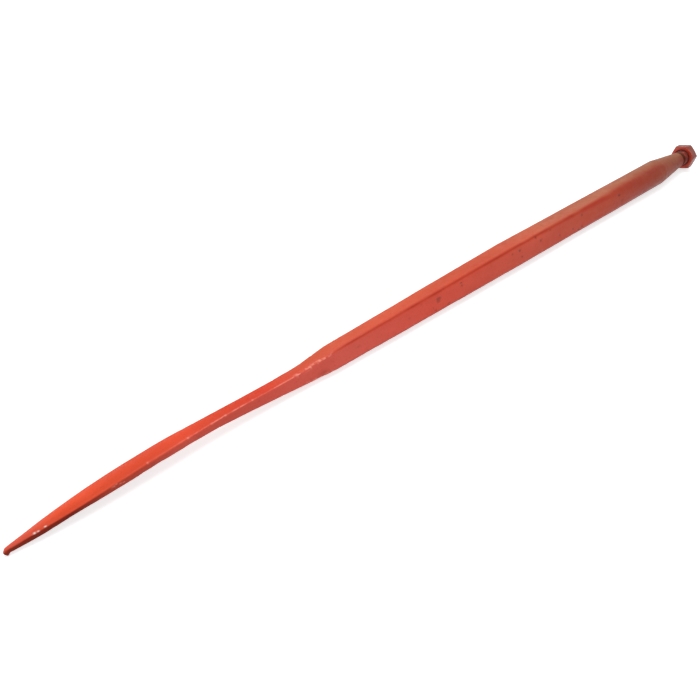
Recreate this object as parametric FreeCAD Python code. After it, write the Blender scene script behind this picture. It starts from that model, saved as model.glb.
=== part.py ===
import FreeCAD, Part
import math
import os

# Bale spear: a one-piece forged tine with a threaded cone shank, and the hex nut that pulls it home.
# Lengths are in mm. X runs from the point (low X) to the threaded end (high X) and +Z is up.
# The spear lies as it rests: rolled a little to one side, so that the hook of the point, the round ahead
# of the cone and one corner of the nut touch Z = 0.

# ---- stock and bar -------------------------------------------------------------------------
STOCK = 46.0                # round stock; the cone starts at this size
BAR = 36.5                  # square bar, across flats
BAR_CORNER = 6.0            # corner radius of the full bar
FLAT_CROWN = 0.15           # forged flats are never dead flat: the middle stands this proud
UNDERSIDE = -BAR / 2        # the bar's underside is straight and level; only its top tapers

# ---- lengths along the spear, from the point -----------------------------------------------
X_HOOK_LOW = 3.0            # lowest spot of the small hook that ends the point
X_BLADE = 9.5               # the hook ends and the blade begins
X_SHOULDER = 424.5          # forged step where the neck grows into the bar
X_FULL_BAR = 775.5          # the taper has reached the full square
X_FLATS_END = 905.5         # from here the corners are drawn round
X_ROUND = 1180.5            # the bar is fully round again
X_CONE = 1202.5             # the cone begins
CONE_LENGTH = 76.0
GROOVE_LENGTH = 8.0         # thread run-out groove between the cone and the thread
BARE_THREAD = 10.0          # thread left showing between the groove and the nut's seat

# ---- shank, thread and nut -----------------------------------------------------------------
THREAD = 28.0               # M28 x 1.5, drawn plain at its major diameter
CONE_SMALL = 28.0           # small end of the cone
GROOVE = 25.8               # groove diameter, just under the thread's core
THREAD_PAST_NUT = 10.0      # thread that shows behind the nut
THREAD_CHAMFER = 1.5
NUT_AF = 41.0               # across flats
NUT_THICK = 14.5
NUT_CHAMFER_ANGLE = 25.0
NUT_CHAMFER_DIAMETER = 40.0
NUT_LEAD_IN = 1.0           # countersink at each mouth of the threaded hole
THREAD_CLEARANCE = 0.1      # radial gap between the nut's hole and the thread
NUT_TURN = -2.5             # how far the nut stopped from square with the bar, in degrees
REST_ROLL = -18.25          # lying free, the spear rolls this far, until a corner of the nut meets the ground

X_GROOVE = X_CONE + CONE_LENGTH
X_THREAD = X_GROOVE + GROOVE_LENGTH
X_NUT = X_THREAD + BARE_THREAD
X_END = X_NUT + NUT_THICK + THREAD_PAST_NUT

# ---- forged sections -----------------------------------------------------------------------
# Each row: distance from the point, width, top and underside heights about the shank's axis,
# corner radius, and how far the top and underside stand proud in the middle.
HOOK_LOW = (X_HOOK_LOW, 6.9, -11.5, -20.15, 2.1, 0.2)
HOOK = [
    (0.0, 3.2, -14.6, -17.0, 1.0, 0.1),
    (1.2, 4.8, -13.2, -18.7, 1.6, 0.15),
    (2.1, 6.3, -12.0, -19.9, 2.0, 0.2),
    HOOK_LOW,
    (6.1, 7.2, -10.8, -17.8, 2.2, 0.2),
    (X_BLADE, 8.2, -10.5, -17.7, 2.3, 0.2),
]
BLADE = [
    HOOK[-1],
    (20.5, 11.0, -8.9, -17.5, 2.5, 0.4),
    (40.5, 16.6, -6.6, -15.9, 2.8, 0.6),
    (66.5, 21.9, -4.0, -13.2, 3.0, 0.8),
    (98.5, 25.6, -1.0, -10.9, 3.1, 0.9),
    (135.5, 26.9, 1.8, -9.2, 3.2, 0.9),
    (172.5, 26.9, 3.7, -7.4, 3.2, 0.8),
    (205.5, 24.8, 4.6, -6.8, 3.0, 0.6),
    (240.5, 21.6, 4.7, -7.1, 2.6, 0.4),
    (280.5, 19.4, 4.6, -9.4, 2.4, 0.25),
    (325.5, 19.5, 4.3, -12.5, 2.4, 0.2),
    (362.5, 20.3, 4.6, -15.1, 2.6, 0.2),
    (383.5, 21.0, 5.7, -16.6, 2.8, 0.2),
    (402.5, 23.4, 7.7, -17.7, 3.4, 0.2),
    (X_SHOULDER, 26.6, 9.9, UNDERSIDE, 4.2, 0.15),
]
BAR_START = (448.5, 27.3, 10.7, UNDERSIDE, 4.5, FLAT_CROWN)
BAR_FULL = (X_FULL_BAR, BAR, BAR / 2, UNDERSIDE, BAR_CORNER, FLAT_CROWN)
ROUNDING = [                # how far along, then width, corner and crown; corners stay on the stock
    (0.00, BAR, BAR_CORNER, FLAT_CROWN),
    (0.28, 38.4, 8.2, 0.35),
    (0.55, 41.2, 10.8, 0.80),
    (0.80, 44.2, 13.0, 1.40),
]


def arc(start, middle, end):
    return Part.Arc(start, middle, end).toShape()


def corner_middle(start, end, span):
    """Middle of a corner arc that turns by span, bulging away from the section's middle."""
    chord = end - start
    bulge = chord.Length / 2 * math.tan(span / 4)
    outward = FreeCAD.Vector(0, chord.z, -chord.y)
    outward.normalize()
    return (start + end) * 0.5 + outward * bulge


def section(x, width, top, bottom, corner, crown):
    """Rounded rectangle across the spear, with gently crowned sides, as eight arcs."""
    half_w, half_h = width / 2, (top - bottom) / 2
    middle = (top + bottom) / 2
    flat_y, flat_z = half_w - corner, half_h - corner
    side_crown = max(crown * (flat_z / flat_y) ** 2, 0.01)
    span = math.pi / 2 - 2 * math.atan(crown / flat_y) - 2 * math.atan(side_crown / flat_z)

    def point(y, z):
        return FreeCAD.Vector(x, y, middle + z)

    edges = []
    for sy, sz in ((1, 1), (-1, 1), (-1, -1), (1, -1)):
        on_side = point(sy * (half_w - side_crown), sz * flat_z)
        on_face = point(sy * flat_y, sz * (half_h - crown))
        over_face = point(-sy * flat_y, sz * (half_h - crown))
        down_side = point(sy * (half_w - side_crown), -sz * flat_z)
        if sy * sz > 0:
            edges.append(arc(on_side, corner_middle(on_side, on_face, span), on_face))
            edges.append(arc(on_face, point(0, sz * half_h), over_face))
        else:
            edges.append(arc(on_face, corner_middle(on_face, on_side, span), on_side))
            edges.append(arc(on_side, point(sy * half_w, 0), down_side))
    return Part.Wire(edges)


def round_section(x):
    """The round stock, split into the same eight arcs as a forged section."""
    radius = STOCK / 2
    eighth = math.radians(22.5)
    corner = radius * (1 - math.sin(eighth))
    return section(x, STOCK, radius, -radius, corner, radius * (1 - math.cos(eighth)))


def forged_length(rows, ruled=False):
    return Part.makeLoft([section(*row) for row in rows], True, ruled)


def between(first, last, share):
    return tuple(a + (b - a) * share for a, b in zip(first, last))


def tapered_bar():
    """Straight taper on the top and the two sides, up to the full square."""
    rows = [BLADE[-1], BAR_START] + [between(BAR_START, BAR_FULL, s) for s in (0.25, 0.5, 0.75, 1.0)]
    return forged_length(rows)


def full_bar():
    return forged_length([BAR_FULL, (X_FLATS_END,) + BAR_FULL[1:]], ruled=True)


def square_to_round():
    """The square bar drawn back to the round stock ahead of the cone."""
    wires = []
    for share, width, corner, crown in ROUNDING:
        x = X_FLATS_END + (X_ROUND - X_FLATS_END) * share
        wires.append(section(x, width, width / 2, -width / 2, corner, crown))
    return Part.makeLoft(wires + [round_section(X_ROUND)], True, False)


def turned(profile):
    """Solid of revolution about the shank's axis from (x, radius) points."""
    points = [FreeCAD.Vector(x, 0, r) for x, r in profile]
    ends = [FreeCAD.Vector(profile[-1][0], 0, 0), FreeCAD.Vector(profile[0][0], 0, 0)]
    outline = Part.makePolygon(points + ends + [points[0]])
    return Part.Face(outline).revolve(FreeCAD.Vector(), FreeCAD.Vector(1, 0, 0), 360)


def shank():
    """Last of the round, cone, thread run-out groove and threaded end, turned in one."""
    return turned([
        (X_ROUND, STOCK / 2),
        (X_CONE, STOCK / 2),
        (X_GROOVE, CONE_SMALL / 2),
        (X_GROOVE + 1.5, GROOVE / 2),
        (X_THREAD - 1.5, GROOVE / 2),
        (X_THREAD, THREAD / 2),
        (X_END - THREAD_CHAMFER, THREAD / 2),
        (X_END, THREAD / 2 - THREAD_CHAMFER),
    ])


def tine():
    solid = forged_length(HOOK, ruled=True)
    for piece in (forged_length(BLADE), tapered_bar(), full_bar(), square_to_round(), shank()):
        solid = solid.fuse(piece)
    return solid.removeSplitter().Solids[0]


def hexagon(x):
    radius = NUT_AF / math.sqrt(3)
    angles = [math.radians(60 * k + NUT_TURN) for k in range(7)]
    return Part.makePolygon([FreeCAD.Vector(x, radius * math.cos(a), radius * math.sin(a)) for a in angles])


def nut():
    """Hex nut, corners chamfered at both ends, with a countersunk hole for the thread."""
    prism = Part.Face(hexagon(X_NUT)).extrude(FreeCAD.Vector(NUT_THICK, 0, 0))
    face_r = NUT_CHAMFER_DIAMETER / 2
    corner_r = NUT_AF / math.sqrt(3) + 1
    slope = (corner_r - face_r) * math.tan(math.radians(NUT_CHAMFER_ANGLE))
    x_back = X_NUT + NUT_THICK
    chamfers = turned([(X_NUT, face_r), (X_NUT + slope, corner_r), (x_back - slope, corner_r), (x_back, face_r)])
    hole_r = THREAD / 2 + THREAD_CLEARANCE
    mouth_r = hole_r + NUT_LEAD_IN
    hole = turned([
        (X_NUT, mouth_r), (X_NUT + NUT_LEAD_IN, hole_r), (x_back - NUT_LEAD_IN, hole_r), (x_back, mouth_r),
    ])
    return prism.common(chamfers).cut(hole)


def droop():
    """Angle that dips the point until the hook touches the ground that the round lies on."""
    _, width, _, bottom, corner, crown = HOOK_LOW
    flat = width / 2 - corner
    sole = (flat ** 2 + crown ** 2) / (2 * crown)
    hook_low = (bottom + sole) * math.cos(math.radians(REST_ROLL)) - sole
    return math.degrees(math.atan2(STOCK / 2 + hook_low, X_ROUND - X_HOOK_LOW))


def place(solid):
    """Roll the spear onto its nut's corner, dip the point, and centre the length over the origin."""
    laid = solid.copy()
    laid.rotate(FreeCAD.Vector(), FreeCAD.Vector(1, 0, 0), REST_ROLL)
    laid.rotate(FreeCAD.Vector(X_ROUND, 0, 0), FreeCAD.Vector(0, 1, 0), -droop())
    return laid.translated(FreeCAD.Vector(-X_END / 2, 0, STOCK / 2))


def build():
    os.makedirs("parts", exist_ok=True)
    for name, solid in (("tine", tine()), ("nut", nut())):
        shape = place(solid)
        print(name, shape.ShapeType, shape.isValid(), round(shape.Volume), shape.BoundBox)
        shape.exportStep("parts/%s.step" % name)


build()
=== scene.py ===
import math

import bpy
import numpy as np
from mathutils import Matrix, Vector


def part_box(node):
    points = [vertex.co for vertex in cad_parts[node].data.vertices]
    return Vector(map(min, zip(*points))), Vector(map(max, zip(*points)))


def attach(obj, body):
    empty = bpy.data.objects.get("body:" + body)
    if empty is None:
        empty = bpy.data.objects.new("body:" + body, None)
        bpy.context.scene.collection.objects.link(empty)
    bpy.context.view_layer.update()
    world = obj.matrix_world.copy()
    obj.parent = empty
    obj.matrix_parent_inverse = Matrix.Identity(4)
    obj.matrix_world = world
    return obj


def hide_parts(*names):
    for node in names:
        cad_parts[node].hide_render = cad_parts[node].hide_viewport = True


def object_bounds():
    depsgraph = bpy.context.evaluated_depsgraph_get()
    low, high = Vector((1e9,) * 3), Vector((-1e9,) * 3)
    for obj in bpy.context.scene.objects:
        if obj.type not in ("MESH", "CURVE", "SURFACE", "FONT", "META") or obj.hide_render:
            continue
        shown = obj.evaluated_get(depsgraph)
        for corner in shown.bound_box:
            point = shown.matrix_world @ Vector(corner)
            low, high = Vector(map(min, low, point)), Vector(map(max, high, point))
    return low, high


# Bale spear: the forged tine, its threaded end and its nut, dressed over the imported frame.
# The forging is laid out in millimetres in its own frame: x runs from the point to the threaded
# end along the shank's axis, z is up out of the bar's top face, y runs across the bar.

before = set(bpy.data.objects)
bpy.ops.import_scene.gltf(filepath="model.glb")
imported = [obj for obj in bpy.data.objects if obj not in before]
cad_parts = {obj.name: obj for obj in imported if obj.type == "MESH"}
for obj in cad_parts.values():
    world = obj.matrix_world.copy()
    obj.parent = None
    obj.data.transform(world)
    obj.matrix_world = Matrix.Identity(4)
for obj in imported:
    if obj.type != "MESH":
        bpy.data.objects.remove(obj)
cad_low, cad_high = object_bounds()

# ---- sizes of the spear, as in the part's source ---------------------------------------------
STOCK = 46.0
BAR = 36.5
BAR_CORNER = 6.0
FLAT_CROWN = 0.15
UNDERSIDE = -BAR / 2
X_BLADE = 9.5
X_SHOULDER = 424.5
X_FULL_BAR = 775.5
X_FLATS_END = 905.5
X_ROUND = 1180.5
X_CONE = 1202.5
X_GROOVE = X_CONE + 76.0
X_THREAD = X_GROOVE + 8.0
X_NUT = X_THREAD + 10.0
NUT_THICK = 14.5
X_END = X_NUT + NUT_THICK + 10.0
CONE_SMALL = 28.0
GROOVE = 25.8
THREAD = 28.0
THREAD_PITCH = 1.5
THREAD_ROOT = 26.2
THREAD_CHAMFER = 1.5
NUT_AF = 41.0
NUT_FACE = 40.0
NUT_CHAMFER = math.radians(25.0)
NUT_HOLE = 28.2
NUT_LEAD_IN = 1.0
NUT_TURN = math.radians(-2.5)
REST_ROLL = math.radians(-18.25)

# distance from the point, width, top, underside, corner radius, crown of the top and underside
HOOK = [
    (0.0, 3.2, -14.6, -17.0, 1.0, 0.1),
    (1.2, 4.8, -13.2, -18.7, 1.6, 0.15),
    (2.1, 6.3, -12.0, -19.9, 2.0, 0.2),
    (3.0, 6.9, -11.5, -20.15, 2.1, 0.2),
    (6.1, 7.2, -10.8, -17.8, 2.2, 0.2),
    (X_BLADE, 8.2, -10.5, -17.7, 2.3, 0.2),
]
BLADE = [
    HOOK[-1],
    (20.5, 11.0, -8.9, -17.5, 2.5, 0.4),
    (40.5, 16.6, -6.6, -15.9, 2.8, 0.6),
    (66.5, 21.9, -4.0, -13.2, 3.0, 0.8),
    (98.5, 25.6, -1.0, -10.9, 3.1, 0.9),
    (135.5, 26.9, 1.8, -9.2, 3.2, 0.9),
    (172.5, 26.9, 3.7, -7.4, 3.2, 0.8),
    (205.5, 24.8, 4.6, -6.8, 3.0, 0.6),
    (240.5, 21.6, 4.7, -7.1, 2.6, 0.4),
    (280.5, 19.4, 4.6, -9.4, 2.4, 0.25),
    (325.5, 19.5, 4.3, -12.5, 2.4, 0.2),
    (362.5, 20.3, 4.6, -15.1, 2.6, 0.2),
    (383.5, 21.0, 5.7, -16.6, 2.8, 0.2),
    (402.5, 23.4, 7.7, -17.7, 3.4, 0.2),
    (X_SHOULDER, 26.6, 9.9, UNDERSIDE, 4.2, 0.15),
]
TAPER = [
    BLADE[-1],
    (448.5, 27.3, 10.7, UNDERSIDE, 4.5, FLAT_CROWN),
    (X_FULL_BAR, BAR, BAR / 2, UNDERSIDE, BAR_CORNER, FLAT_CROWN),
    (X_FLATS_END, BAR, BAR / 2, UNDERSIDE, BAR_CORNER, FLAT_CROWN),
]
EIGHTH = math.radians(22.5)


def round_row(x, radius):
    """A round section, split into the same eight arcs as a forged one."""
    return (x, 2 * radius, radius, -radius, radius * (1 - math.sin(EIGHTH)), radius * (1 - math.cos(EIGHTH)))


def square_row(share, width, corner, crown):
    return (X_FLATS_END + (X_ROUND - X_FLATS_END) * share, width, width / 2, -width / 2, corner, crown)


ROUNDING = [
    TAPER[-1],
    square_row(0.28, 38.4, 8.2, 0.35),
    square_row(0.55, 41.2, 10.8, 0.80),
    square_row(0.80, 44.2, 13.0, 1.40),
    round_row(X_ROUND, STOCK / 2),
]
SHANK = [
    (X_ROUND, STOCK / 2), (X_CONE - 1.2, STOCK / 2), (X_CONE + 1.2, STOCK / 2 - 0.30),
    (X_GROOVE - 0.4, CONE_SMALL / 2 + 0.02), (X_GROOVE + 0.2, CONE_SMALL / 2 - 0.25),
    (X_GROOVE + 1.5, GROOVE / 2), (X_THREAD - 1.5, GROOVE / 2), (X_THREAD, THREAD_ROOT / 2),
    (X_END - THREAD_CHAMFER, THREAD_ROOT / 2), (X_END, THREAD / 2 - THREAD_CHAMFER - 0.1),
]

# ---- placing: forging millimetres to row-frame metres ----------------------------------------
nut_low, nut_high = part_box("nut")
ANCHOR = np.array((nut_low + nut_high) / 2)         # the nut's middle lies on the shank's axis
ANCHOR_X = X_NUT + NUT_THICK / 2
DROOP = math.asin((ANCHOR[2] - STOCK / 2000) * 1000 / (ANCHOR_X - X_ROUND))


def placing():
    c, s = math.cos(REST_ROLL), math.sin(REST_ROLL)
    roll = np.array([[1, 0, 0], [0, c, -s], [0, s, c]])
    c, s = math.cos(DROOP), math.sin(DROOP)
    dip = np.array([[c, 0, -s], [0, 1, 0], [s, 0, c]])
    return dip @ roll


PLACING = placing()


def to_row(points):
    """Forging millimetres to metres in the row frame."""
    return ANCHOR + (np.asarray(points, float) - (ANCHOR_X, 0, 0)) @ PLACING.T / 1000


# ---- noise for hammered steel ----------------------------------------------------------------
def lattice(ix, iy, iz, seed):
    h = (ix * 73856093) ^ (iy * 19349663) ^ (iz * 83492791) ^ (seed * 2654435761)
    h = (h ^ (h >> 13)) * 1274126177
    return ((h ^ (h >> 16)) & 0xFFFFFF) / float(0x7FFFFF) - 1.0


def cloud(points, size, seed):
    """Smooth noise from -1 to 1; size is the width of one blotch in mm, or three widths."""
    q = np.asarray(points, float) / np.broadcast_to(np.asarray(size, float), (3,)) + 17.3
    base = np.floor(q).astype(np.int64)
    f = q - base
    f = f * f * f * (f * (f * 6 - 15) + 10)
    total = np.zeros(len(q))
    for dx in (0, 1):
        for dy in (0, 1):
            for dz in (0, 1):
                weight = (f[:, 0] if dx else 1 - f[:, 0]) * (f[:, 1] if dy else 1 - f[:, 1])
                weight = weight * (f[:, 2] if dz else 1 - f[:, 2])
                total += weight * lattice(base[:, 0] + dx, base[:, 1] + dy, base[:, 2] + dz, seed)
    return total


def clouds(points, size, seed, octaves=3):
    size = np.asarray(size, float)
    total, reach = 0, 0
    for k in range(octaves):
        total = total + cloud(points, size / 2 ** k, seed + k) / 2 ** k
        reach += 1 / 2 ** k
    return total / reach


def ramp(x, low, high):
    """0 below low, 1 above high, smooth in between; low may be the larger."""
    t = np.clip((np.asarray(x, float) - low) / (high - low), 0, 1)
    return t * t * (3 - 2 * t)


# ---- sections --------------------------------------------------------------------------------
FLAT_STEPS = 14
CORNER_STEPS = 10
AROUND = 4 * (FLAT_STEPS + CORNER_STEPS)


def arc(start, end, turn, steps):
    """Points of an arc from start towards end, end left out, that turns by turn and bulges outwards."""
    start, end = np.array(start), np.array(end)
    chord = end - start
    length = math.hypot(*chord)
    radius = length / 2 / math.sin(turn / 2)
    outward = np.array([chord[1], -chord[0]]) / length
    centre = (start + end) / 2 - outward * radius * math.cos(turn / 2)
    spread = (np.arange(steps) / steps - 0.5) * turn
    along = chord / length
    return centre + radius * (outward * np.cos(spread)[:, None] + along * np.sin(spread)[:, None])


def section(width, top, bottom, corner, crown):
    """Rounded rectangle of the forging, starting at the corner of +y and +z and going over the top."""
    half_w, half_h = width / 2, (top - bottom) / 2
    flat_y, flat_z = half_w - corner, half_h - corner
    side_crown = max(crown * (flat_z / flat_y) ** 2, 0.01)
    over, down = 2 * math.atan(crown / flat_y), 2 * math.atan(side_crown / flat_z)
    corner_turn = math.pi / 2 - over - down
    parts = []
    for sy, sz in ((1, 1), (-1, 1), (-1, -1), (1, -1)):
        on_side = (sy * (half_w - side_crown), sz * flat_z)
        on_face = (sy * flat_y, sz * (half_h - crown))
        if sy * sz > 0:
            parts.append(arc(on_side, on_face, corner_turn, CORNER_STEPS))
            parts.append(arc(on_face, (-on_face[0], on_face[1]), 2 * over, FLAT_STEPS))
        else:
            parts.append(arc(on_face, on_side, corner_turn, CORNER_STEPS))
            parts.append(arc(on_side, (on_side[0], -on_side[1]), 2 * down, FLAT_STEPS))
    ring = np.vstack(parts)
    ring[:, 1] += (top + bottom) / 2
    return ring


def slopes(x, y):
    """End and inner slopes of a curve through the rows that never swings past them."""
    step = np.diff(x)[:, None]
    d = np.diff(y, axis=0) / step
    m = np.zeros_like(y)
    m[0], m[-1] = d[0], d[-1]
    same = d[:-1] * d[1:] > 0
    w1, w2 = 2 * step[1:] + step[:-1], step[1:] + 2 * step[:-1]
    safe = np.where(same, d[:-1], 1), np.where(same, d[1:], 1)
    m[1:-1] = np.where(same, (w1 + w2) / (w1 / safe[0] + w2 / safe[1]), 0)
    return m


def rows_between(rows, stations):
    """Section values at the stations, on a smooth curve through the given rows."""
    table = np.array(rows, float)
    x, y = table[:, 0], table[:, 1:]
    m = slopes(x, y)
    k = np.clip(np.searchsorted(x, stations, side="right") - 1, 0, len(x) - 2)
    h = (x[k + 1] - x[k])[:, None]
    t = ((stations - x[k])[:, None]) / h
    return (y[k] * (1 + 2 * t) * (1 - t) ** 2 + h * m[k] * t * (1 - t) ** 2
            + y[k + 1] * t * t * (3 - 2 * t) + h * m[k + 1] * t * t * (t - 1))


def rows_straight(rows, stations):
    table = np.array(rows, float)
    return np.stack([np.interp(stations, table[:, 0], table[:, c]) for c in range(1, 6)], 1)


def stations_over(start, end, step):
    count = max(int(round((end - start) / step)), 1)
    return start + (end - start) * np.arange(count) / count


FINE_FROM, FINE_TO = 340.0, 470.0      # closer rings over the shoulder


def section_table():
    """Every ring of the forging: its distance from the point and its section values."""
    spans = [
        (stations_over(0, X_BLADE, 0.7), HOOK, rows_between),
        (stations_over(X_BLADE, FINE_FROM, 1.9), BLADE, rows_between),
        (stations_over(FINE_FROM, X_SHOULDER, 1.3), BLADE, rows_between),
        (stations_over(X_SHOULDER, FINE_TO, 1.5), TAPER, rows_straight),
        (stations_over(FINE_TO, X_FLATS_END, 2.2), TAPER, rows_straight),
        (stations_over(X_FLATS_END, X_ROUND, 2.2), ROUNDING, rows_between),
    ]
    xs = [s for s, _, _ in spans]
    values = [make(rows, s) for s, rows, make in spans]
    shank = np.array(SHANK)
    turned = np.concatenate([
        stations_over(X_ROUND, X_CONE - 1.2, 2.0), stations_over(X_CONE - 1.2, X_CONE + 1.2, 0.6),
        stations_over(X_CONE + 1.2, X_GROOVE - 0.4, 1.8), stations_over(X_GROOVE - 0.4, X_THREAD, 0.5),
        stations_over(X_THREAD, X_END - THREAD_CHAMFER, 1.0), [X_END - THREAD_CHAMFER, X_END],
    ])
    radii = np.interp(turned, shank[:, 0], shank[:, 1])
    xs.append(turned)
    values.append(np.array([round_row(x, r)[1:] for x, r in zip(turned, radii)]))
    return np.concatenate(xs), np.vstack(values)


def corner_distance(ring):
    """Distance round the section to the middle of the nearest corner, in mm, and which corner it is."""
    step = np.linalg.norm(np.roll(ring, -1, 0) - ring, axis=1)
    run = np.concatenate([[0], np.cumsum(step)])
    around, run = run[-1], run[:-1]
    half = FLAT_STEPS + CORNER_STEPS
    middles = run[[k * half + CORNER_STEPS // 2 for k in range(4)]]
    gap = np.abs(run[:, None] - middles[None])
    gap = np.minimum(gap, around - gap)
    return gap.min(1), gap.argmin(1)


# ---- the forging -----------------------------------------------------------------------------
NEAR_TOP = 1        # corner of -y and +z, the ridge that runs the whole length of the bar
# marks with a place of their own, all in mm: x, y and size of the bright specks near the point;
# x and length of the chips along the near ridge; x, z and size of the near side's chips and pits
SPECKS = [(32.3, -6.3, 0.9), (35.8, -7.0, 0.55), (43.7, -7.4, 0.6)]
EDGE_CHIPS = [(160.0, 1.0), (211.0, 1.5), (243.0, 1.0), (262.0, 1.4), (300.0, 0.9)]
SIDE_CHIPS = [(117.8, -3.0, 1.5), (121.0, -2.0, 0.9), (125.5, -3.4, 1.2), (129.0, -4.0, 0.8)]
PITS = [(659.0, 3.6, 1.5), (771.0, 8.7, 1.3), (793.0, -3.5, 1.6), (839.5, 5.3, 1.9), (888.0, -3.5, 1.4),
        (947.3, 9.9, 1.9), (947.3, -9.9, 2.0), (1060.0, -4.0, 2.0), (1128.0, -9.0, 2.2)]
# half width of the dark band on the ridges, by distance from the point; the band is painted dark reflection
# on the rounded corners, with rubbed paint
RIDGE_BAND_FROM = [424, 500, 800, 905, 1000, 1090, 1160, 1215]
RIDGE_BAND_WIDTH = [1.8, 2.1, 2.4, 3.0, 5.0, 8.5, 12.0, 11.0]
# how far each mark reaches from the middle of a ridge, and how deep it cuts, in mm
RIDGE_WEAR, EDGE_CHIP_WIDTH, PALE_LINE, PALE_PATCHES = 2.2, 1.3, 0.75, 2.6
RIDGE_DEPTH, PIT_DEPTH, CHIP_DEPTH = 0.22, 0.35, 0.25


def patch(x, across, x0, a0, long, wide):
    """A soft spot on the surface, centred x0 from the point and a0 across."""
    return np.exp(-((x - x0) / long) ** 2 - ((across - a0) / wide) ** 2)


def forging_shape():
    """Points of the forging ring by ring, with the marks that its finish is made from."""
    xs, table = section_table()
    rings = [section(*row) for row in table]
    flat = np.vstack(rings)
    x = np.repeat(xs, AROUND)
    p = np.column_stack([x, flat])
    gaps, corners = zip(*(corner_distance(r) for r in rings))
    gap, corner = np.concatenate(gaps), np.concatenate(corners)
    normal = np.vstack([outward(r) for r in rings])
    top_face = ramp(normal[:, 1], 0.55, 0.9)
    near_side = ramp(-normal[:, 0], 0.55, 0.9)
    forged = ramp(x, 1215, 1195)                    # hammered, not turned

    # the hammer's broad dents, the scale under the paint and the wander of the ridges
    lift = 0.16 * cloud(p, (70, 26, 26), 3) + 0.10 * cloud(p, (24, 12, 12), 5)
    lift += (0.07 * clouds(p, (9, 6, 6), 8) + 0.16 * cloud(p, (34, 9, 9), 11)
             * ramp(x, 440, 380) * ramp(x, 12, 40))
    ridge = np.exp(-(gap / RIDGE_WEAR) ** 2)
    lift -= ridge * RIDGE_DEPTH * np.clip(clouds(p, (13, 40, 40), 14), 0, 1)
    chips = ridge * ramp(cloud(p, (7, 50, 50), 21), 0.45, 0.75)
    at_shoulder = np.exp(-((x - 395) / 26) ** 2)
    lift -= chips * (0.18 + 0.35 * at_shoulder) * ramp(x, 30, 60)
    lift *= ramp(x, 4, 30) * 0.85 + 0.15

    # pits where scale was hammered in: sparse, deeper towards the shank
    grain = cloud(p, 5.0, 31) * 0.7 + cloud(p, 11.0, 33) * 0.45
    pit = ramp(grain, 0.62, 0.80) * (0.25 + 0.75 * ramp(x, 480, 720)) * forged
    pit *= 1 - 0.8 * top_face
    for x0, z0, size in PITS:
        pit = np.maximum(pit, patch(x, p[:, 2], x0, z0, size * 1.2, size) * near_side)
    lift -= PIT_DEPTH * pit
    lift = lift * forged
    lift += 0.03 * clouds(p, (6, 6, 6), 41) * (1 - forged) * ramp(x, X_GROOVE, X_GROOVE - 8)

    # dark ridge band of painted dark reflection and rubbed paint: a thin line along the bar that widens as
    # the corners are drawn round
    width = np.interp(x, RIDGE_BAND_FROM, RIDGE_BAND_WIDTH)
    rub = np.exp(-(gap / width) ** 2) * ramp(x, 405, 440) * ramp(x, 1250, 1180)
    rub *= 0.85 + 0.25 * cloud(p, (22, 7, 7), 51)

    # pale on the neck's ridge and in broken patches on the shoulder: painted highlight along the ridge, with
    # the paint worn through
    line = np.exp(-(gap / PALE_LINE) ** 2) * ramp(x, 150, 240) * ramp(x, 425, 395)
    line *= 0.35 + 0.65 * ramp(cloud(p, (9, 30, 30), 61), -0.35, 0.3)
    pale_patches = np.exp(-(gap / PALE_PATCHES) ** 2) * ramp(x, 352, 372) * ramp(x, 428, 408)
    pale_patches *= ramp(cloud(p, (3.6, 2.4, 2.4), 63), 0.0, 0.35)
    wear = np.clip(0.75 * line + 1.0 * pale_patches, 0, 1)
    return p, normal, dict(
        x=x, gap=gap, corner=corner, normal_z=normal[:, 1], top_face=top_face, near_side=near_side,
        lift=lift, pit=pit, rub=rub, wear=wear)


def outward(ring):
    """Outward direction of each point of a section, in its own plane."""
    along = np.roll(ring, -1, 0) - np.roll(ring, 1, 0)
    n = np.stack([along[:, 1], -along[:, 0]], 1)
    return n / np.linalg.norm(n, axis=1)[:, None]


def forging_marks(p, m):
    """Specks, chips, dust with painted sheen, and grime with painted shade, from where they lie on the spear.
    """
    x, across = m["x"], p[:, 1]
    specks = np.zeros(len(x))
    facing_up = ramp(m["normal_z"], 0.2, 0.6)
    for x0, a0, size in SPECKS:
        specks = np.maximum(specks, patch(x, across, x0, a0, size * 1.3, size) * facing_up)
    chips = np.zeros(len(x))
    near = np.exp(-(m["gap"] / EDGE_CHIP_WIDTH) ** 2) * (m["corner"] == NEAR_TOP)
    for x0, long in EDGE_CHIPS:
        chips = np.maximum(chips, np.exp(-((x - x0) / long) ** 2) * near)
    for x0, z0, size in SIDE_CHIPS:
        chips = np.maximum(chips, patch(x, p[:, 2], x0, z0, size, size * 0.6) * m["near_side"])
    # pale tan on the top faces towards the shank and round the last of the forging: dust together with
    # painted sheen
    dust = m["top_face"] * ramp(x, 700, 900) * (0.6 + 0.6 * clouds(p, (46, 14, 14), 71))
    dust = np.maximum(dust, 0.4 * ramp(x, 1150, 1215) * (0.7 + 0.6 * clouds(p, 12, 73)))
    # painted shade: darker where the faces turn down, on the point's end and on the blade's near side towards
    # the point; the stain by the shoulder is a real mark
    underside_shade = ramp(-m["normal_z"], 0.45, 0.9)
    grime = 0.5 * underside_shade * (0.8 + 0.4 * clouds(p, (60, 16, 16), 75))
    grime = np.maximum(grime, 0.9 * ramp(x, 3.0, 0.8) * ramp(m["normal_z"], 0.6, 0.1))
    grime = np.maximum(grime, 0.42 * ramp(x, 140, 60) * ramp(m["normal_z"], 0.55, 0.2))
    stain = patch(x, p[:, 2], 403, -11, 9, 4) * m["near_side"] * 0.3
    # painted shadow in the groove before the thread
    groove_shadow = ramp(x, X_GROOVE - 1.5, X_GROOVE + 1.0)
    grime = np.clip(np.maximum(np.maximum(grime, stain), 0.9 * groove_shadow), 0, 1)
    return dict(specks=specks, chips=chips, dust=np.clip(dust, 0, 1), grime=grime)


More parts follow.
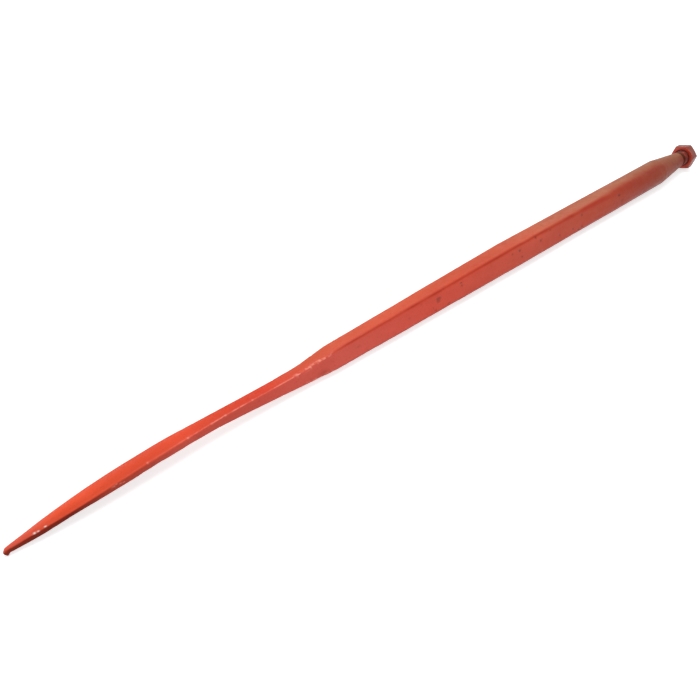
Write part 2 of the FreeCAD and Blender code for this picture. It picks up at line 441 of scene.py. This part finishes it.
def grid_faces(rings, around):
    """Quads between neighbouring rings, with outward faces when the rings turn anticlockwise."""
    i, j = np.meshgrid(np.arange(rings - 1), np.arange(around), indexing="ij")
    k = (j + 1) % around
    here, ahead = i * around, (i + 1) * around
    return np.stack([here + j, here + k, ahead + k, ahead + j], -1).reshape(-1, 4)


def make_object(name, points, quads, fans, marks):
    """A mesh object in the row frame with its marks as point attributes."""
    faces = [tuple(int(v) for v in f) for f in quads] + [tuple(int(v) for v in f) for f in fans]
    mesh = bpy.data.meshes.new(name)
    mesh.from_pydata(to_row(points).tolist(), [], faces)
    for key, values in marks.items():
        attribute = mesh.attributes.new(key, "FLOAT", "POINT")
        attribute.data.foreach_set("value", np.asarray(values, np.float32))
    mesh.shade_smooth()
    mesh.update()
    piece = bpy.data.objects.new(name, mesh)
    bpy.context.scene.collection.objects.link(piece)
    return piece


def make_forging():
    p, normal, m = forging_shape()
    marks = forging_marks(p, m)
    lifted = p.copy()
    lift = m["lift"] - CHIP_DEPTH * marks["chips"]
    lifted[:, 1:] += normal * lift[:, None]
    count = len(p) // AROUND
    quads = grid_faces(count, AROUND)
    tip = lifted[:AROUND].mean(0) - (0.25, 0, 0)
    end = lifted[-AROUND:].mean(0)
    points = np.vstack([lifted, tip, end])
    first, last = len(lifted), len(lifted) + 1
    ring0 = (count - 1) * AROUND
    fans = [((j + 1) % AROUND, j, first) for j in range(AROUND)]
    fans += [(ring0 + j, ring0 + (j + 1) % AROUND, last) for j in range(AROUND)]
    half_w = np.repeat(np.array([row[0] for row in section_table()[1]]) / 2, AROUND)
    share = (p[:, 1] + half_w) / (2 * half_w)
    # painted light: how much of the lit top colour a point takes, more where it faces up and towards the far
    # edge, where the sheen is
    upper = ramp(normal[:, 1], 0.25, 0.8) * (0.72 + 0.28 * ramp(share, 0.1, 0.6))
    bare_and_highlit = np.maximum(m["wear"], marks["chips"] * 0.9)
    kept = dict(
        along=m["x"] / X_END, upper=upper, rub=np.clip(m["rub"], 0, 1), wear=bare_and_highlit, pit=m["pit"],
        dust=marks["dust"], grime=marks["grime"], speck=marks["specks"])
    # painted shade on the end points of the point and of the threaded end
    ends = dict(along=(0, 1), grime=(1, 0.9))
    kept = {k: np.concatenate([v, ends.get(k, (0, 0))]) for k, v in kept.items()}
    return make_object("forging", points, quads, fans, kept)


# ---- the nut ---------------------------------------------------------------------------------
NUT_CORNER = 1.0


def hexagon_radius(angle):
    """Radius of the nut's outline at an angle from one of its corners, the corners a little rounded."""
    centre = (NUT_AF / 2 - NUT_CORNER) / math.cos(math.radians(30))
    reach = math.atan(0.5 * NUT_CORNER / (centre + NUT_CORNER * math.cos(math.radians(30))))
    if abs(angle) < reach:
        return centre * math.cos(angle) + math.sqrt(NUT_CORNER ** 2 - (centre * math.sin(angle)) ** 2)
    return NUT_AF / 2 / math.cos(math.radians(30) - abs(angle))


def nut_profile(radius):
    """Front mouth, face, chamfer, flat, and back again, as (x, radius) for one direction."""
    hole, mouth, face = NUT_HOLE / 2, NUT_HOLE / 2 + NUT_LEAD_IN, NUT_FACE / 2
    drop = max((radius - face) * math.tan(NUT_CHAMFER), 0.05)
    half = [
        (NUT_LEAD_IN, hole), (0.12, mouth - 0.12), (0.0, mouth + 0.15), (0.0, (mouth + face) / 2 - 1.0),
        (0.0, (mouth + face) / 2 + 1.0), (0.0, face - 0.25), (0.06, face),
        (drop * 0.5, face + (radius - face) * 0.5), (drop * 0.9, radius - (radius - face) * 0.08 - 0.03),
        (drop + 0.25, radius), (drop + 1.4, radius),
    ]
    back = [(NUT_THICK - x, r) for x, r in reversed(half)]
    waist = [(NUT_THICK * s, radius) for s in (0.35, 0.5, 0.65)]
    bore = [(NUT_THICK * s, hole) for s in (0.75, 0.5, 0.25)]
    return half + waist + back + bore


def make_nut():
    left, tip, right = np.linspace(-30, -3.2, 9), np.linspace(-2.0, 2.0, 5), np.linspace(3.2, 30, 9)
    offsets = np.concatenate([left, tip, right[:-1]])
    angles, radii = [], []
    for k in range(6):
        for a in offsets:
            angles.append(math.radians(60 * k + a) + NUT_TURN)
            radii.append(hexagon_radius(math.radians(a)))
    profiles = [nut_profile(r) for r in radii]
    steps = len(profiles[0])
    points, edge, face, height = [], [], [], []
    for a, outline in zip(angles, profiles):
        for x, r in outline:
            points.append((X_NUT + x, r * math.cos(a), r * math.sin(a)))
    points = np.array(points)
    count = len(angles)
    radial = np.hypot(points[:, 1], points[:, 2])
    away = points[:, 1:] / radial[:, None]
    local = points[:, 0] - X_NUT
    outer = ramp(radial, 17.0, 19.5)
    lift = (0.10 * clouds(points, 7.0, 81) + 0.05 * cloud(points, 2.6, 83)) * outer
    points[:, 1:] += away * lift[:, None]
    i, j = np.meshgrid(np.arange(count), np.arange(steps), indexing="ij")
    i2, j2 = (i + 1) % count, (j + 1) % steps
    quads = np.stack([i * steps + j, i * steps + j2, i2 * steps + j2, i2 * steps + j], -1).reshape(-1, 4)
    # painted light: the front face lit bright red, the rim of the flanks in painted shade, and a painted
    # highlight along the front edge
    front = ramp(local, 1.6, 0.2)
    rim = ramp(radial, 18.6, 20.6)
    marks = dict(
        front=front * ramp(radial, 14.6, 15.4), rim=rim,
        edge=np.clip(np.exp(-((radial - 20.2) / 0.7) ** 2) * ramp(local, 2.6, 0.4), 0, 1),
        # darker round the bore: painted shade in the nut's mouth, with blotches of dirt
        grime=np.clip(ramp(radial, 16.4, 14.8) + 0.35 * ramp(clouds(points, 6, 85), 0.1, 0.6), 0, 1))
    return make_object("nut_body", points, quads, [], marks)


# ---- the thread, made by its rule ------------------------------------------------------------
def socket(tree, name, kind, default, out=False):
    made = tree.interface.new_socket(name, in_out="OUTPUT" if out else "INPUT", socket_type=kind)
    if default is not None:
        made.default_value = default
    return made.identifier


def thread_tree(material):
    """A ridge wound along a helix: inputs are its length, pitch, crest and root radii in metres."""
    tree = bpy.data.node_groups.new("thread_ridge", "GeometryNodeTree")
    ids = {name: socket(tree, name, "NodeSocketFloat", value) for name, value in (
        ("Length", 0.03), ("Pitch", 0.0015), ("Crest", 0.014), ("Root", 0.013))}
    socket(tree, "Geometry", "NodeSocketGeometry", None, out=True)
    new, link = tree.nodes.new, tree.links.new
    given, out = new("NodeGroupInput"), new("NodeGroupOutput")

    def maths(operation, a, b):
        node = new("ShaderNodeMath")
        node.operation = operation
        for slot, value in zip(node.inputs, (a, b)):
            if isinstance(value, (int, float)):
                slot.default_value = value
            else:
                link(value, slot)
        return node.outputs[0]

    turns = maths("DIVIDE", given.outputs["Length"], given.outputs["Pitch"])
    helix = new("GeometryNodeCurveSpiral")
    helix.inputs["Resolution"].default_value = 48
    link(turns, helix.inputs["Rotations"])
    link(given.outputs["Root"], helix.inputs["Start Radius"])
    link(given.outputs["Root"], helix.inputs["End Radius"])
    link(given.outputs["Length"], helix.inputs["Height"])
    depth = maths("SUBTRACT", given.outputs["Crest"], given.outputs["Root"])
    profile = new("GeometryNodeCurvePrimitiveQuadrilateral")
    profile.mode = "TRAPEZOID"
    profile.inputs["Offset"].default_value = 0.0
    link(maths("MULTIPLY", given.outputs["Pitch"], 0.84), profile.inputs["Bottom Width"])
    link(maths("MULTIPLY", given.outputs["Pitch"], 0.20), profile.inputs["Top Width"])
    link(maths("MULTIPLY", depth, 2.0), profile.inputs["Height"])
    sweep = new("GeometryNodeCurveToMesh")
    sweep.inputs["Fill Caps"].default_value = True
    link(helix.outputs["Curve"], sweep.inputs["Curve"])
    link(profile.outputs["Curve"], sweep.inputs["Profile Curve"])
    solid = new("GeometryNodeRealizeInstances")
    link(sweep.outputs["Mesh"], solid.inputs["Geometry"])
    coat = new("GeometryNodeSetMaterial")
    coat.inputs["Material"].default_value = material
    link(solid.outputs["Geometry"], coat.inputs["Geometry"])
    link(coat.outputs["Geometry"], out.inputs["Geometry"])
    return tree, ids


def make_thread(material):
    tree, ids = thread_tree(material)
    base = bpy.data.objects.new("thread_base", bpy.data.meshes.new("thread_base"))
    bpy.context.scene.collection.objects.link(base)
    winding = base.modifiers.new("thread", "NODES")
    winding.node_group = tree
    length = X_END - THREAD_CHAMFER - X_THREAD - 0.5
    for name, value in (("Length", length), ("Pitch", THREAD_PITCH), ("Crest", THREAD / 2 - 0.02),
                        ("Root", THREAD_ROOT / 2)):
        winding[ids[name]] = value / 1000
    bpy.context.view_layer.update()
    done = base.evaluated_get(bpy.context.evaluated_depsgraph_get())
    mesh = bpy.data.meshes.new_from_object(done)
    bpy.data.objects.remove(base)
    wound = np.array([v.co[:] for v in mesh.vertices]) * 1000
    laid = np.column_stack([wound[:, 2] + X_THREAD + 0.4, wound[:, 0], wound[:, 1]])
    for v, co in zip(mesh.vertices, to_row(laid)):
        v.co = co
    mesh.update()
    piece = bpy.data.objects.new("thread", mesh)
    bpy.context.scene.collection.objects.link(piece)
    return piece


# ---- finishes --------------------------------------------------------------------------------
def colour(r, g, b):
    """A paint colour as seen, 0 to 255, turned into the shader's linear values."""
    def lin(v):
        v /= 255
        return v / 12.92 if v <= 0.04045 else ((v + 0.055) / 1.055) ** 2.4
    return (lin(r), lin(g), lin(b), 1.0)


class Finish:
    """Small helper that builds one painted-steel material, step by step."""

    def __init__(self, name):
        self.material = bpy.data.materials.new(name)
        self.material.use_nodes = True
        self.tree = self.material.node_tree
        self.new, self.link = self.tree.nodes.new, self.tree.links.new
        self.shader = self.tree.nodes["Principled BSDF"]
        self.place = self.new("ShaderNodeTexCoord").outputs["Object"]

    def set(self, node, name, value):
        slot = node.inputs[name] if isinstance(name, (int, str)) else name
        if hasattr(value, "is_output"):
            self.link(value, slot)
        else:
            slot.default_value = value

    def mark(self, name):
        node = self.new("ShaderNodeAttribute")
        node.attribute_name = name
        return node.outputs["Fac"]

    def noise(self, scale, detail=3.0, rough=0.5, stretch=None, warp=0.0):
        node = self.new("ShaderNodeTexNoise")
        place = self.place
        if stretch:
            mapping = self.new("ShaderNodeMapping")
            self.link(place, mapping.inputs["Vector"])
            mapping.inputs["Scale"].default_value = stretch
            place = mapping.outputs["Vector"]
        self.link(place, node.inputs["Vector"])
        for name, value in (("Scale", scale), ("Detail", detail), ("Roughness", rough), ("Distortion", warp)):
            node.inputs[name].default_value = value
        return node.outputs["Fac"]

    def between(self, value, low, high, out_low=0.0, out_high=1.0):
        node = self.new("ShaderNodeMapRange")
        node.interpolation_type = "SMOOTHSTEP"
        for name, v in (("Value", value), ("From Min", low), ("From Max", high),
                        ("To Min", out_low), ("To Max", out_high)):
            self.set(node, name, v)
        return node.outputs["Result"]

    def maths(self, operation, a, b, clamp=False):
        node = self.new("ShaderNodeMath")
        node.operation = operation
        node.use_clamp = clamp
        self.set(node, 0, a)
        self.set(node, 1, b)
        return node.outputs[0]

    def mix(self, factor, a, b, kind="MIX"):
        node = self.new("ShaderNodeMix")
        node.data_type = "RGBA"
        node.blend_type = kind
        self.set(node, 0, factor)
        self.set(node, 6, a)
        self.set(node, 7, b)
        return node.outputs[2]

    def graded(self, value, stops):
        node = self.new("ShaderNodeValToRGB")
        marks = node.color_ramp.elements
        while len(marks) < len(stops):
            marks.new(0.5)
        for mark, (position, shade) in zip(marks, stops):
            mark.position = position
            mark.color = shade
        self.link(value, node.inputs["Fac"])
        return node.outputs["Color"]

    def bumps(self, heights):
        normal = None
        for height, strength, distance in heights:
            node = self.new("ShaderNodeBump")
            node.inputs["Strength"].default_value = strength
            node.inputs["Distance"].default_value = distance
            self.link(height, node.inputs["Height"])
            if normal is not None:
                self.link(normal, node.inputs["Normal"])
            normal = node.outputs["Normal"]
        self.link(normal, self.shader.inputs["Normal"])


# paint colours along the spear, by distance from the point in mm; the top colours hold painted sheen from the
# overhead light, lighter and more orange, and the side colours hold painted shade, darker at the point and
# towards the shank, with a painted pinkish reflection
TOP_PAINT_AND_SHEEN = [
    (0, (244, 104, 84)), (60, (246, 86, 46)), (180, (237, 77, 38)), (320, (230, 62, 22)),
    (400, (219, 90, 58)), (500, (214, 83, 48)), (820, (200, 74, 36)), (970, (184, 86, 52)),
    (1190, (146, 84, 48)), (1300, (122, 62, 30))]
SIDE_PAINT_AND_SHADE = [
    (0, (166, 50, 20)), (70, (146, 36, 18)), (120, (182, 66, 44)), (200, (206, 82, 66)), (320, (224, 90, 76)),
    (440, (222, 92, 76)), (600, (223, 82, 62)), (820, (216, 86, 62)), (970, (198, 74, 46)),
    (1100, (176, 64, 34)), (1200, (146, 56, 22)), (1270, (124, 30, 10))]
# deep red of the ridge band: painted dark reflection on the rounded corners, with rubbed paint
RIDGE_PAINT_AND_REFLECTION = [(420, (172, 42, 22)), (800, (162, 38, 20)), (1000, (166, 40, 20)), (1200, (138, 44, 24))]


def paint_stops(paint):
    return [(x / X_END, colour(*shade)) for x, shade in paint]


def tine_finish():
    f = Finish("tine_paint")
    # painted light: the top colours hold painted sheen, the side colours painted shade and a painted pinkish
    # reflection; both are copies of one red
    side = f.graded(f.mark("along"), paint_stops(SIDE_PAINT_AND_SHADE))
    top = f.graded(f.mark("along"), paint_stops(TOP_PAINT_AND_SHEEN))
    red = f.mix(f.mark("upper"), side, top)
    blotch = f.noise(16, 4, 0.55, (0.45, 1, 1))
    red = f.mix(f.between(blotch, 0.3, 0.7, 0.0, 0.9), red, colour(236, 228, 222), "MULTIPLY")
    speckle = f.noise(420, 3, 0.6)
    red = f.mix(f.between(speckle, 0.50, 0.75, 0.0, 0.20), red, colour(140, 44, 32))
    # pale tan film on the top faces: dust with painted sheen
    drift = f.between(f.noise(60, 5, 0.6, (0.5, 1, 1)), 0.25, 0.7, 0.45, 1.0)
    dust_and_sheen_film = f.maths("MULTIPLY", f.mark("dust"), drift)
    red = f.mix(f.maths("MULTIPLY", dust_and_sheen_film, 0.45), red, colour(196, 146, 116))
    # painted dark reflection along the ridges, with rubbed paint that is also a little smoother below
    ridge_band = f.mark("rub")
    ridge_band_colour = f.graded(f.mark("along"), paint_stops(RIDGE_PAINT_AND_REFLECTION))
    red = f.mix(f.maths("MULTIPLY", ridge_band, 0.9, True), red, ridge_band_colour)
    # pale pink line and patches on the ridges: painted highlight, with worn paint and chips
    worn_and_highlit = f.maths("MULTIPLY", f.mark("wear"), f.between(f.noise(330, 3, 0.6), 0.36, 0.55, 0.35, 1.0))
    red = f.mix(worn_and_highlit, red, colour(246, 146, 128))
    pitted = f.mark("pit")
    red = f.mix(f.maths("MULTIPLY", pitted, 0.7), red, colour(92, 40, 30))
    # darker in painted shade under the bar, at the point, on the blade's near side and in the groove, with a
    # real stain by the shoulder
    shade_and_dirt = f.maths("MULTIPLY", f.mark("grime"), f.between(f.noise(90, 4, 0.6), 0.2, 0.6, 0.55, 1.0))
    red = f.mix(f.maths("MULTIPLY", shade_and_dirt, 0.85), red, colour(62, 30, 22))
    red = f.mix(f.maths("MULTIPLY", f.mark("speck"), 1.0, True), red, colour(240, 226, 214))
    f.link(red, f.shader.inputs["Base Color"])
    rough = f.between(f.noise(140, 3, 0.5), 0.3, 0.7, 0.40, 0.52)
    rough = f.maths("ADD", rough, f.maths("MULTIPLY", dust_and_sheen_film, 0.22))
    rough = f.maths("SUBTRACT", rough, f.maths("MULTIPLY", ridge_band, 0.08))
    rough = f.maths("ADD", rough, f.maths("MULTIPLY", shade_and_dirt, 0.2), True)
    f.link(rough, f.shader.inputs["Roughness"])
    f.link(f.between(f.mark("grime"), 0.0, 0.8, 0.16, 0.03), f.shader.inputs["Specular IOR Level"])
    f.bumps([
        (f.noise(260, 4, 0.6), 0.35, 0.0004),
        (f.noise(900, 2, 0.5), 0.25, 0.00012),
        (f.mark("wear"), 0.5, 0.0003),
    ])
    return f.material


def nut_finish():
    f = Finish("nut_paint")
    # painted light: the front face lit bright red, the rest of the nut in painted shade
    red = f.mix(f.mark("front"), colour(150, 44, 30), colour(206, 62, 38))
    red = f.mix(f.between(f.noise(70, 4, 0.6), 0.35, 0.7, 0.0, 0.5), red, colour(120, 34, 24))
    # painted shade on the rim of the flanks
    red = f.mix(f.maths("MULTIPLY", f.mark("rim"), 0.45), red, colour(104, 58, 34))
    # painted highlight along the front edge
    edge = f.maths("MULTIPLY", f.mark("edge"), f.between(f.noise(240, 3, 0.6), 0.4, 0.6, 0.2, 1.0))
    red = f.mix(f.maths("MULTIPLY", edge, 0.45), red, colour(226, 110, 88))
    # painted shade round the bore, with dirt
    shade_and_dirt = f.maths("MULTIPLY", f.mark("grime"), f.between(f.noise(120, 4, 0.6), 0.3, 0.6, 0.4, 1.0))
    red = f.mix(f.maths("MULTIPLY", shade_and_dirt, 0.8), red, colour(58, 30, 22))
    f.link(red, f.shader.inputs["Base Color"])
    rough = f.between(f.noise(180, 3, 0.5), 0.3, 0.7, 0.34, 0.5)
    f.link(f.maths("ADD", rough, f.maths("MULTIPLY", shade_and_dirt, 0.25), True), f.shader.inputs["Roughness"])
    f.bumps([(f.noise(300, 4, 0.6), 0.4, 0.0004), (f.noise(1000, 2, 0.5), 0.25, 0.0001)])
    return f.material


def thread_shaded_finish():
    f = Finish("thread_paint")
    # dark red with painted shade, as the thread sits in the shadowed gap between cone and nut
    red = f.graded(f.noise(160, 4, 0.6), [
        (0.30, colour(74, 34, 26)), (0.52, colour(126, 40, 28)), (0.75, colour(160, 62, 44))])
    f.link(red, f.shader.inputs["Base Color"])
    f.link(f.between(f.noise(240, 3, 0.5), 0.3, 0.7, 0.42, 0.62), f.shader.inputs["Roughness"])
    f.bumps([(f.noise(500, 3, 0.6), 0.3, 0.0002)])
    return f.material


# ---- the pieces ------------------------------------------------------------------------------
forging = make_forging()
forging.data.materials.append(tine_finish())
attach(forging, "root")
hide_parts("tine")

thread = make_thread(thread_shaded_finish())
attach(thread, "root")

nut_body = make_nut()
nut_body.data.materials.append(nut_finish())
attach(nut_body, "root")
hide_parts("nut")


# ---- floor, light and camera -----------------------------------------------------------------
def camera_rays(tree):
    """1 for what is seen straight, in a reflection or through glass."""
    path = tree.nodes.new("ShaderNodeLightPath")
    first = tree.nodes.new("ShaderNodeMath")
    second = tree.nodes.new("ShaderNodeMath")
    first.operation = second.operation = "MAXIMUM"
    tree.links.new(path.outputs["Is Camera Ray"], first.inputs[0])
    tree.links.new(path.outputs["Is Glossy Ray"], first.inputs[1])
    tree.links.new(first.outputs[0], second.inputs[0])
    tree.links.new(path.outputs["Is Transmission Ray"], second.inputs[1])
    return second.outputs[0]


FLOOR_HALF = 14.0           # metres
FLOOR_DROP = 0.0003         # the floor lies this far under the spear
LAMPS = [                   # name, place, size in metres and power in watts; both aim at the middle
    ("overhead", (0.2, 0.5, 2.6), 2.4, 54),
    ("side", (-1.4, -2.2, 1.5), 1.6, 15),
]
CAMERA_PLACE = (-0.668883, -0.500287, 0.638574)
CAMERA_TURN = (47.4095, -2.15257, -41.15608)     # degrees
CAMERA_LENS = 36.3315                           # millimetres


def make_floor():
    mesh = bpy.data.meshes.new("floor")
    half, z = FLOOR_HALF, cad_low.z - FLOOR_DROP
    corners = [(-half, -half, z), (half, -half, z), (half, half, z), (-half, half, z)]
    mesh.from_pydata(corners, [], [(0, 1, 2, 3)])
    floor = bpy.data.objects.new("floor", mesh)
    bpy.context.scene.collection.objects.link(floor)
    material = bpy.data.materials.new("floor_paper")
    material.use_nodes = True
    tree = material.node_tree
    tree.nodes.clear()
    paper = tree.nodes.new("ShaderNodeBsdfDiffuse")
    paper.inputs["Color"].default_value = (0.80, 0.80, 0.80, 1)
    glow = tree.nodes.new("ShaderNodeEmission")
    glow.inputs["Color"].default_value = (1, 1, 1, 1)
    glow.inputs["Strength"].default_value = 0.62
    plain = tree.nodes.new("ShaderNodeAddShader")
    tree.links.new(paper.outputs[0], plain.inputs[0])
    tree.links.new(glow.outputs[0], plain.inputs[1])
    choose = tree.nodes.new("ShaderNodeMixShader")
    tree.links.new(camera_rays(tree), choose.inputs[0])
    tree.links.new(paper.outputs[0], choose.inputs[1])
    tree.links.new(plain.outputs[0], choose.inputs[2])
    out = tree.nodes.new("ShaderNodeOutputMaterial")
    tree.links.new(choose.outputs[0], out.inputs["Surface"])
    mesh.materials.append(material)


def make_world():
    world = bpy.data.worlds.new("studio")
    bpy.context.scene.world = world
    world.use_nodes = True
    tree = world.node_tree
    lit = tree.nodes["Background"]
    lit.inputs["Color"].default_value = (0.92, 0.95, 1.0, 1)
    lit.inputs["Strength"].default_value = 0.40
    seen = tree.nodes.new("ShaderNodeBackground")
    seen.inputs["Color"].default_value = (1, 1, 1, 1)
    seen.inputs["Strength"].default_value = 1.0
    choose = tree.nodes.new("ShaderNodeMixShader")
    tree.links.new(camera_rays(tree), choose.inputs[0])
    tree.links.new(lit.outputs[0], choose.inputs[1])
    tree.links.new(seen.outputs[0], choose.inputs[2])
    tree.links.new(choose.outputs[0], tree.nodes["World Output"].inputs["Surface"])


def make_lamp(name, place, size, power):
    lamp = bpy.data.lights.new(name, "AREA")
    lamp.shape = "DISK"
    lamp.size = size
    lamp.energy = power
    made = bpy.data.objects.new(name, lamp)
    bpy.context.scene.collection.objects.link(made)
    made.location = place
    made.rotation_euler = (
        math.acos(place[2] / math.hypot(*place)), 0, math.atan2(place[1], place[0]) + math.pi / 2)


def make_camera():
    lens = bpy.data.cameras.new("camera")
    lens.lens = CAMERA_LENS
    lens.sensor_width = 36.0
    camera = bpy.data.objects.new("camera", lens)
    bpy.context.scene.collection.objects.link(camera)
    camera.location = CAMERA_PLACE
    camera.rotation_euler = [math.radians(a) for a in CAMERA_TURN]
    lens.clip_start, lens.clip_end = 0.02, 60
    bpy.context.scene.camera = camera


make_floor()
make_world()
for lamp_name, lamp_place, lamp_size, lamp_power in LAMPS:
    make_lamp(lamp_name, lamp_place, lamp_size, lamp_power)
make_camera()
bpy.context.scene.view_settings.view_transform = "Standard"
